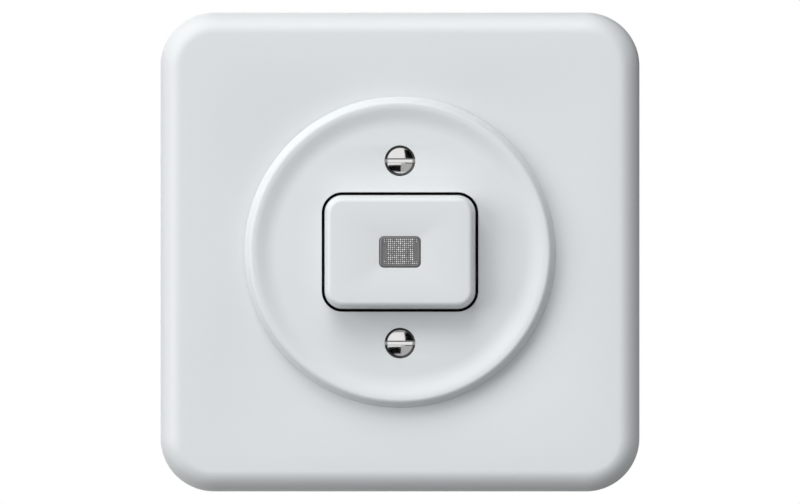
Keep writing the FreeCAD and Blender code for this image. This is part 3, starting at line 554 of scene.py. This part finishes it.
# %% [markdown]
# ## Writing shader maths as sums
# A finish is a small recipe: where am I on the piece, how much does the colour drift there,
# how rough is it, which way is it dented. Node trees for that are tedious to wire, so one
# class lets a socket take part in ordinary sums, and one method adds any other node.

# %% Signals and the node bench
class Signal:
    """One output of a node. Each operator adds the Math node that does its sum."""

    def __init__(self, bench, socket):
        self.bench = bench
        self.socket = socket

    def maths(self, operation, first, second):
        """The result of a Math node on two values."""
        return self.bench.node("Math", {"operation": operation}, {0: first, 1: second})

    def __add__(self, other):
        return self.maths("ADD", self, other)

    def __sub__(self, other):
        return self.maths("SUBTRACT", self, other)

    def __rsub__(self, other):
        return self.maths("SUBTRACT", other, self)

    def __mul__(self, other):
        return self.maths("MULTIPLY", self, other)

    def __pow__(self, other):
        return self.maths("POWER", self, other)

    def __abs__(self):
        return self.bench.node("Math", {"operation": "ABSOLUTE"}, {0: self})

    __radd__ = __add__
    __rmul__ = __mul__


class Bench:
    """A cleared node tree and the one way nodes are put into it."""

    def __init__(self, tree):
        tree.nodes.clear()
        self.tree = tree

    def node(self, kind, settings=None, sockets=None, output=0):
        """Adds a node: settings first, then sockets, each a plain value or a signal; returns the
        named output as a signal."""
        made = self.tree.nodes.new("ShaderNode" + kind)
        for name, value in (settings or {}).items():
            setattr(made, name, value)
        for name, value in (sockets or {}).items():
            if isinstance(value, Signal):
                self.tree.links.new(value.socket, made.inputs[name])
            else:
                made.inputs[name].default_value = value
        return Signal(self, made.outputs[output]) if made.outputs else None

    def between(self, share, first, second):
        """A colour between two colours, by a share from 0 to 1."""
        return self.node("Mix", {"data_type": "RGBA"}, {0: share, 6: first, 7: second}, output=2)

    def larger(self, first, second):
        """The larger of two values."""
        return self.node("Math", {"operation": "MAXIMUM"}, {0: first, 1: second})

    def noise(self, place, scale, detail=2.0):
        """A soft random pattern about 0.5, with a scale in features per metre."""
        return self.node("TexNoise", None, {"Vector": place, "Scale": scale, "Detail": detail})

    def band(self, value, low, high, first=0.0, second=1.0):
        """A value between low and high becomes one between first and second, held at the ends."""
        return self.node("MapRange", None, {
            "Value": value, "From Min": low, "From Max": high, "To Min": first, "To Max": second})

    def dent(self, height, depth, strength=1.0):
        """A bump whose height, from 0 to 1, stands for a depth in metres."""
        return self.node("Bump", None, {"Height": height, "Distance": depth, "Strength": strength})


def new_finish(name):
    """A material, its bench, and the piece's own coordinates as a signal."""
    material = bpy.data.materials.new(name)
    material.use_nodes = True
    bench = Bench(material.node_tree)
    return material, bench, bench.node("TexCoord", output="Object")


def paint(material, bench, sockets):
    """Puts the main shader on a finish: constants on its own sockets, signals as links."""
    shader = bench.node("BsdfPrincipled", None, sockets)
    bench.node("OutputMaterial", None, {"Surface": shader})
    print("finish:", material.name)
    return material


def rgb(red, green, blue):
    """A colour socket's value, with full alpha."""
    return (red, green, blue, 1.0)


# %% [markdown]
# ## Moulded plastics
# Frame, plate and button are one white moulding material, smooth but not a mirror: under a
# soft light its gloss drifts a little, and close up the skin has the faintest orange peel.
# The other mouldings are the same recipe with other colours, grain and gloss.

# %% Moulded finishes
DRIFT_SCALE, CLOUD_SCALE = 55.0, 210.0
NOISE_LOW, NOISE_HIGH, GLOSS_DRIFT = 0.3, 0.7, 0.08


def moulded(name, pale, dark, roughness, peel_depth, grain_scale, specular=0.5):
    """Colour drifts between two near tones over a centimetre or so, roughness drifts by 8
    per cent either way, and the skin is dented by a fine noise."""
    material, bench, place = new_finish(name)
    drift = bench.noise(place, DRIFT_SCALE, 3.0)
    cloud = bench.noise(place, CLOUD_SCALE)
    skin_noise = bench.noise(place, grain_scale)
    return paint(material, bench, {
        "Base Color": bench.between(bench.band(drift, NOISE_LOW, NOISE_HIGH), pale, dark),
        "Roughness": bench.band(cloud, NOISE_LOW, NOISE_HIGH, roughness * (1 - GLOSS_DRIFT),
                                roughness * (1 + GLOSS_DRIFT)),
        "Specular IOR Level": specular,
        "Normal": bench.dent(skin_noise, peel_depth),
    })


white_plastic = moulded(
    "white_moulding", rgb(0.756, 0.779, 0.787), rgb(0.750, 0.774, 0.782), 0.38, 2.5e-6, 1400.0)
black_plastic = moulded(
    "black_moulding", rgb(0.004, 0.004, 0.0045), rgb(0.007, 0.007, 0.008), 0.55, 6e-6, 2600.0,
    specular=0.06)
grey_thermoset = moulded(
    "grey_thermoset", rgb(0.42, 0.43, 0.43), rgb(0.37, 0.38, 0.382), 0.5, 9e-6, 2200.0)
cream_plastic = moulded(
    "cream_moulding", rgb(0.72, 0.68, 0.56), rgb(0.68, 0.64, 0.52), 0.42, 4e-6, 1600.0)

# %% [markdown]
# ## The clear window's look
# Behind the window it is dark, so the clear plastic is painted grey, a painted shade for the
# dark seen through it, and each dot gets a painted highlight, a speck of light, some more than
# others and the middle ones most. The pattern follows the dots by the piece's own
# coordinates: a dot's number gives it its own brightness.

# %% Window finish
# Painted light on the window: the first number is the white of the painted highlights, and the
# greys below are painted shade for the dark seen through the lens.
DOT_HIGHLIGHT, DOT_LEAST, DOT_CORE, DOT_REACH = 1.0, 0.3, 0.27, 0.41
MIDDLE_CORE, MIDDLE_REACH, MIDDLE_REST = 0.6, 0.95, 0.65
FLANK_X, FLANK_CORE, FLANK_REACH, FLANK_SHARE = 1.95, 0.3, 0.6, 0.95
DARK_COLUMN, DARK_ROWS, CELL_BLUR, FIELD_BLUR = 6.5, 4.5, 0.1, 0.02
LENS_DARK, LENS_PALE = rgb(0.145, 0.147, 0.147), rgb(0.205, 0.205, 0.205)
FIELD_GROUND = rgb(0.10, 0.102, 0.102)


def window_finish():
    """Painted highlights on the dots: share = 1 near the dot's centre, falling to 0 at its reach,
    times a random number of the dot, times a weight for the bright middle and flanks; it mixes
    the painted grey, which stands for the dark seen through the lens, to white. The outermost
    columns stay dark but for their upper and lower ends."""
    material, bench, place = new_finish("clear_window_grid")
    axes = [bench.node("SeparateXYZ", None, {0: place}, output=axis) - DOT_SHIFT * MM
            for axis in ("X", "Z")]
    cells = [axis * (1 / (DOT_PITCH * MM)) + 0.5 for axis in axes]
    whole = [bench.node("Math", {"operation": "FLOOR"}, {0: cell}) for cell in cells]
    offset = [cell - number - 0.5 for cell, number in zip(cells, whole)]
    distance = (offset[0] * offset[0] + offset[1] * offset[1]) ** 0.5
    number = bench.node("CombineXYZ", None, {"X": whole[0], "Y": whole[1]})
    chance = bench.node("TexWhiteNoise", {"noise_dimensions": "3D"}, {"Vector": number})
    across, upwards = [abs(axis) for axis in axes]
    middle = bench.band(across, MIDDLE_CORE * MM, MIDDLE_REACH * MM, 1.0, MIDDLE_REST)
    flank = bench.band(abs(across - FLANK_X * MM), FLANK_CORE * MM, FLANK_REACH * MM,
                       FLANK_SHARE, 0.0)
    pitch = DOT_PITCH * MM
    ends = bench.band(upwards, (DARK_ROWS - CELL_BLUR) * pitch, (DARK_ROWS + CELL_BLUR) * pitch)
    column = bench.band(across, (DARK_COLUMN - CELL_BLUR) * pitch,
                        (DARK_COLUMN + CELL_BLUR) * pitch, 1.0, 0.0)
    on_field = bench.band(across, (FIELD_X - FIELD_BLUR) * MM, FIELD_X * MM, 1.0, 0.0)
    on_field = on_field * bench.band(upwards, (FIELD_Y - FIELD_BLUR) * MM, FIELD_Y * MM, 1.0, 0.0)
    kept = bench.larger(ends, column)
    # Painted highlight: a bright speck on each dot, brightest in the middle and on the flanks.
    painted_highlight = bench.band(distance, DOT_CORE, DOT_REACH, 1.0, 0.0)
    painted_highlight = painted_highlight * (DOT_LEAST + (1 - DOT_LEAST) * chance)
    painted_highlight = painted_highlight * bench.larger(middle, flank) * on_field * kept
    # Painted shade: the grey of the lens stands for the dark seen through it, darker on the dot
    # field.
    tint = bench.between(bench.noise(place, 700.0), LENS_DARK, LENS_PALE)
    tint = bench.between(on_field * kept, tint, FIELD_GROUND)
    return paint(material, bench, {
        "Base Color": bench.between(painted_highlight, tint, rgb(DOT_HIGHLIGHT, DOT_HIGHLIGHT, DOT_HIGHLIGHT)),
        "Roughness": bench.band(bench.noise(place, 900.0), NOISE_LOW, NOISE_HIGH, 0.14, 0.24),
        "IOR": 1.49,
    })


clear_window = window_finish()

# %% [markdown]
# ## Metals
# Each metal shows how it was made. The screw heads were turned and plated, so fine rings run
# round their axes. Sheet steel is zinc plated with a soft crystal pattern. Strip brass was
# rolled and has lines along it, drawn wire has lines round it, and the blocks were turned.

# %% Turned screws
CROWN_BLUR, FLOOR_LOW, FLOOR_HIGH = 0.04, 0.01, 0.05
# The next two rows place painted shade: dark bands at the slot's ends and along its upper edge.
MARK_CORE, MARK_REACH, MARK_SHARE, END_SHARE = 0.08, 0.16, 0.25, 0.72
LINE_SHIFT, LINE_CORE, LINE_REACH, LINE_SHARE = 0.04, 0.09, 0.13, 0.9


def turned(name, colour, shade, dark, roughness, ring_pitch, depth):
    """Rings round the screws' axes: height = sine of distance / pitch, where the distance is
    measured from the nearer of the two axes. The shoulder, past the crown and above the slot's
    floor, is painted dark as painted shade for the shaded recess round the head and its dark
    reflection, and so are the slot's upper edge and its ends, for the shade in the slot."""
    material, bench, place = new_finish(name)
    x, y, z = [bench.node("SeparateXYZ", None, {0: place}, output=axis) for axis in "XYZ"]
    beside = abs(z) - SCREW_Y * MM
    distance = (x * x + beside * beside) ** 0.5
    wave = bench.node("Math", {"operation": "SINE"}, {0: distance * (2 * np.pi / ring_pitch)})
    smear = bench.noise(place, 1200.0, 3.0)
    # Painted shade: the shoulder outside the crown is darkened for the shaded recess round the
    # head.
    outside = bench.band(distance, (CROWN - CROWN_BLUR) * MM, (CROWN + CROWN_BLUR) * MM)
    above = bench.band(0 - y, (SLOT_FLOOR + FLOOR_LOW) * MM, (SLOT_FLOOR + FLOOR_HIGH) * MM)
    from_crown = abs(distance - CROWN * MM)
    painted_slot_end_shade = bench.band(from_crown, MARK_CORE * MM, MARK_REACH * MM, MARK_SHARE, 0.0)
    painted_slot_end_shade = (painted_slot_end_shade + outside * END_SHARE) * (1 - above)
    upwards = beside * bench.node("Math", {"operation": "SIGN"}, {0: z})
    # Painted shade: a dark line along the slot's upper edge, where the slot is in shade.
    from_edge = abs(upwards - (SLOT_HALF + LINE_SHIFT) * MM)
    line = bench.band(from_edge, LINE_CORE * MM, LINE_REACH * MM, LINE_SHARE, 0.0)
    painted_shade = bench.larger(line * (1 - outside), outside * above + painted_slot_end_shade)
    return paint(material, bench, {
        "Base Color": bench.between(painted_shade, bench.between(smear, colour, shade), dark),
        "Metallic": 1.0,
        "Roughness": bench.band(smear, 0.25, 0.75, roughness * 0.7, roughness * 1.3),
        "Normal": bench.dent(wave * 0.5 + 0.5, depth, 0.4),
    })


# The third colour is the dark of the painted shade on the shoulder and in the slot.
nickel_plate = turned(
    "nickel_plate", rgb(0.80, 0.79, 0.785), rgb(0.75, 0.74, 0.735), rgb(0.15, 0.155, 0.155),
    0.12, 9e-5, 3e-7)


# %% Other metals
def brushed(name, colour, shade, roughness, stretch, scale, depth):
    """Lines along one direction: a noise whose coordinates are squeezed by the stretch factors,
    used for roughness, dents and a slight change of colour."""
    material, bench, place = new_finish(name)
    along = bench.node("Mapping", None, {"Vector": place, "Scale": stretch})
    lines = bench.noise(along, scale, 4.0)
    patches = bench.noise(place, 160.0, 2.0)
    return paint(material, bench, {
        "Base Color": bench.between(patches, colour, shade),
        "Metallic": 1.0,
        "Roughness": bench.band(lines, 0.25, 0.75, roughness * 0.75, roughness * 1.25),
        "Normal": bench.dent(lines, depth),
    })


def zinc_plated(name):
    """Zinc crystals: cells a few millimetres wide, each with its own tone and roughness."""
    material, bench, place = new_finish(name)
    warp = bench.noise(place, 500.0, 2.0)
    cell = bench.node("TexVoronoi", None, {"Vector": place, "Scale": 380.0}, output="Color")
    tone = bench.node("RGBToBW", None, {0: cell}) * 0.7 + warp * 0.3
    return paint(material, bench, {
        "Base Color": bench.between(tone, rgb(0.60, 0.62, 0.65), rgb(0.71, 0.72, 0.73)),
        "Metallic": 1.0,
        "Roughness": bench.band(tone, 0.1, 0.9, 0.26, 0.40),
        "Normal": bench.dent(warp, 4e-6),
    })


steel_screw = brushed(
    "steel_screw", rgb(0.62, 0.62, 0.63), rgb(0.54, 0.54, 0.56), 0.28, (1, 6, 1), 900.0, 3e-6)
spring_steel = brushed(
    "spring_steel", rgb(0.52, 0.52, 0.54), rgb(0.42, 0.42, 0.45), 0.30, (1, 8, 1), 800.0, 3e-6)
turned_brass = brushed(
    "turned_brass", rgb(0.83, 0.63, 0.29), rgb(0.75, 0.55, 0.24), 0.26, (1, 1, 8), 700.0, 4e-6)
strip_brass = brushed(
    "strip_brass", rgb(0.80, 0.60, 0.27), rgb(0.71, 0.51, 0.21), 0.30, (0.2, 4, 4), 900.0, 3e-6)
contact_silver = brushed(
    "contact_silver", rgb(0.82, 0.81, 0.79), rgb(0.74, 0.73, 0.71), 0.24, (1, 1, 1), 1500.0, 3e-6)
zinc_steel = zinc_plated("zinc_plated_steel")


# %% Lamp glass
def glass_lamp(name):
    """Clear glass with a faint warm tint and a little unevenness from drawing the tip."""
    material, bench, place = new_finish(name)
    waves = bench.noise(place, 420.0, 2.0)
    return paint(material, bench, {
        "Base Color": bench.between(waves, rgb(0.96, 0.94, 0.90), rgb(0.92, 0.88, 0.82)),
        "Roughness": bench.band(waves, 0.3, 0.7, 0.03, 0.08),
        "Transmission Weight": 0.9,
        "IOR": 1.5,
        "Normal": bench.dent(waves, 1e-5),
    })


lamp_glass = glass_lamp("lamp_glass")

# %% [markdown]
# ## Every solid gets its finish
# The new pieces carry their finish themselves. The solids that stay visible, mostly behind
# the face, keep their shape and only change the material in their slot.

# %% Dress the pieces and the solids
for piece, finish in (
        (cover_frame, white_plastic), (front_plate, white_plastic), (push_button, white_plastic),
        (window_lens, clear_window), (front_screws, nickel_plate),
        (return_spring, spring_steel), (lever_spring, spring_steel), (switch_base, grey_thermoset),
        (mounting_plate, zinc_steel), *[(terminal, turned_brass) for terminal in terminals]):
    piece.data.materials.append(finish)

FINISHES = {
    white_plastic: ["cover_frame", "front_plate", "push_button"],
    black_plastic: ["guide_housing"],
    grey_thermoset: ["switch_base"],
    cream_plastic: ["lamp_holder", "button_slider"],
    clear_window: ["window_lens"],
    lamp_glass: ["indicator_lamp"],
    nickel_plate: ["front_plate_screws"],
    steel_screw: ["tie_screws", "pivot_pin", "terminal_screws"],
    zinc_steel: ["mounting_plate"],
    spring_steel: ["return_spring", "lever_spring"],
    turned_brass: ["threaded_pillars", *TERMINALS],
    strip_brass: ["lamp_live_strip", "lamp_neutral_strip", "load_strip", "lever_bracket",
                  "contact_lever"],
    contact_silver: ["fixed_contact", "moving_contact"],
}
for finish, names in FINISHES.items():
    for name in names:
        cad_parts[name].data.materials.clear()
        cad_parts[name].data.materials.append(finish)
dressed = sum(len(names) for names in FINISHES.values())
print("solids with a finish:", dressed, "of", len(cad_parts))

# %% [markdown]
# ## White all round
# The picture has a pure white ground. The world is white to the camera and in reflections,
# and a plain grey light to everything else, weaker from below and weakest from behind, where
# the wall is, so that the white plastic keeps its shading. The floor lies under the object,
# takes its shadow, and is lifted to white in the same way.

# %% World and floor
AMBIENT, BEHIND, BELOW, WALL_SHADE = 0.45, 0.2, 0.6, 0.15
SIDE_FADE, LOW_FADE, WALL_FADE = (-0.35, 0.3), (-0.7, 0.1), (0.0, 0.1)
FLOOR_LEVEL, FLOOR_RADIUS, FLOOR_FORWARD, FLOOR_LIFT = -50.0, 700.0, 380.0, 0.55
FLOOR_SIDES = 96


def seen_directly(bench):
    """1 for rays from the camera and for mirror and glass rays, 0 for the light that spreads."""
    names = ("Is Camera Ray", "Is Glossy Ray", "Is Transmission Ray")
    rays = [bench.node("LightPath", output=name) for name in names]
    return bench.node("Math", {"operation": "MINIMUM"}, {0: rays[0] + rays[1] + rays[2], 1: 1.0})


world = bpy.data.worlds.new("white_studio")
bpy.context.scene.world = world
world.use_nodes = True
air = Bench(world.node_tree)
aim = air.node("TexCoord", output="Generated")
away, high = [air.node("SeparateXYZ", None, {0: aim}, output=axis) for axis in ("Y", "Z")]
level = air.band(away, *SIDE_FADE, AMBIENT, AMBIENT * BEHIND)
level = level * air.band(high, *LOW_FADE, BELOW, 1.0)
level = level * air.band(away, *WALL_FADE, 1.0, WALL_SHADE)
spread = air.node("Background", None, {"Color": rgb(0.97, 0.985, 1.0), "Strength": level})
white = air.node("Background", None, {"Color": rgb(1, 1, 1), "Strength": 1.0})
air.node("OutputWorld", None, {
    "Surface": air.node("MixShader", None, {0: seen_directly(air), 1: spread, 2: white})})

floor_material, floor_bench, _ = new_finish("floor_paper")
paper = floor_bench.node("BsdfDiffuse", None, {"Color": rgb(0.85, 0.85, 0.85)})
lift = floor_bench.node("Emission", None, {
    "Color": rgb(1, 1, 1), "Strength": seen_directly(floor_bench) * FLOOR_LIFT})
lifted = floor_bench.node("AddShader", None, {0: paper, 1: lift})
floor_bench.node("OutputMaterial", None, {"Surface": lifted})


def stage_piece(name, points, faces, material):
    """A mesh that belongs to the studio and not to the object."""
    mesh = bpy.data.meshes.new(name)
    mesh.from_pydata(points, [], faces.tolist())
    mesh.materials.append(material)
    thing = bpy.data.objects.new(name, mesh)
    bpy.context.scene.collection.objects.link(thing)
    return thing


round_edge = np.linspace(0, 2 * np.pi, FLOOR_SIDES, endpoint=False)
paper_edge = np.stack([FLOOR_RADIUS * np.cos(round_edge), np.full(FLOOR_SIDES, FLOOR_LEVEL),
                       FLOOR_FORWARD + FLOOR_RADIUS * np.sin(round_edge)], axis=-1)
floor = stage_piece("floor", stand(paper_edge), np.arange(FLOOR_SIDES)[None, :], floor_material)
floor.visible_diffuse = floor.visible_glossy = floor.visible_shadow = False
print("floor at", FLOOR_LEVEL, "mm, reaching back to y =", FLOOR_RADIUS - FLOOR_FORWARD, "mm")

# %% [markdown]
# ## Soft light and some cards
# The shading in the picture comes from plain light all round and two broad soft lights, one
# above and one on the left, whose shadows run into each other to the lower right. A weak one
# adds a little from the viewer's side, and one behind lights the back. The bright and black
# fields in the screw heads are reflections: dark and grey cards stand round the object, seen
# only there, as a photographer places them for chrome.

# %% Lights
LAMP_DISTANCE, LAMP_RADIUS = 8.0, 2.9
LAMPS = {
    "soft_above": ((-0.22, -0.53, 0.82), 1.60),
    "soft_left": ((-0.82, -0.53, 0.22), 1.33),
    "soft_front": ((0.0, -1.0, 0.0), 0.12),
    "soft_back": ((-0.10, 1.0, 0.25), 2.00),
}


def soft_light(name, direction, distance, radius, strength):
    """A disc lamp that faces the object. Its power for a wanted strength at the object, in watts
    per square metre, is strength * pi * (distance^2 + radius^2)."""
    data = bpy.data.lights.new(name, "AREA")
    data.shape = "DISK"
    data.size = 2 * radius
    data.energy = strength * np.pi * (distance ** 2 + radius ** 2)
    lamp = bpy.data.objects.new(name, data)
    bpy.context.scene.collection.objects.link(lamp)
    lamp.location = np.array(direction) / np.linalg.norm(direction) * distance
    lamp.rotation_euler = lamp.location.to_track_quat("Z", "Y").to_euler()
    print(name, "power:", round(data.energy, 1), "W")
    return lamp


for name, (direction, strength) in LAMPS.items():
    lamp = soft_light(name, direction, LAMP_DISTANCE, LAMP_RADIUS, strength)
    lamp.visible_glossy = False

# %% Reflection cards
CARD_DISTANCE, CARD_GREY, CARD_STEPS = 1400.0, 0.49, 25


def card(name, across, upwards, grey):
    """A patch of a large sphere: direction (sin h cos e, sin e, cos h cos e) for the angle h to
    the right and e upwards, in degrees, both running between two limits."""
    h, e = np.meshgrid(np.radians(np.linspace(*across, CARD_STEPS)),
                       np.radians(np.linspace(*upwards, CARD_STEPS)))
    ball = np.stack([np.sin(h) * np.cos(e), np.sin(e), np.cos(h) * np.cos(e)], axis=-1)
    material, bench, _ = new_finish(name)
    glow = bench.node("Emission", None, {"Color": rgb(grey, grey, grey), "Strength": 1.0})
    bench.node("OutputMaterial", None, {"Surface": glow})
    points, faces = skin(ball * CARD_DISTANCE, around=False)
    made = stage_piece(name, stand(points), faces, material)
    made.visible_camera = made.visible_diffuse = False
    made.visible_shadow = made.visible_transmission = False


card("card_upper_right", (21, 178), (1, 86), 0.0)
card("card_lower_left", (-62, 4), (-43, -15), 0.0)
card("card_lower_right", (4, 178), (-86, 1), CARD_GREY)
card("card_below", (-110, 4), (-86, -43), CARD_GREY)
print("cards stand", CARD_DISTANCE, "mm away")

# %% [markdown]
# ## The camera
# The picture looks straight at the face with no visible perspective, so the camera has a
# very long lens and stands far off. Its distance follows from the picture: the frame's 86
# millimetres fill 478 of 800 pixels.

# %% Camera
PIXELS_PER_MM, PICTURE_WIDTH, SENSOR, LENS_LENGTH = 5.569, 800, 36.0, 1000.0
camera_data = bpy.data.cameras.new("camera")
camera_data.sensor_width = SENSOR
camera_data.lens = LENS_LENGTH
away = PICTURE_WIDTH / PIXELS_PER_MM * LENS_LENGTH / SENSOR
camera = bpy.data.objects.new("camera", camera_data)
bpy.context.scene.collection.objects.link(camera)
camera.location = stand([0, 0, away + FACE / 2])
camera.rotation_euler = (np.pi / 2, 0, 0)
bpy.context.scene.camera = camera
bpy.context.scene.view_settings.view_transform = "Standard"
print("camera stands", round(away / 1000, 3), "m away")
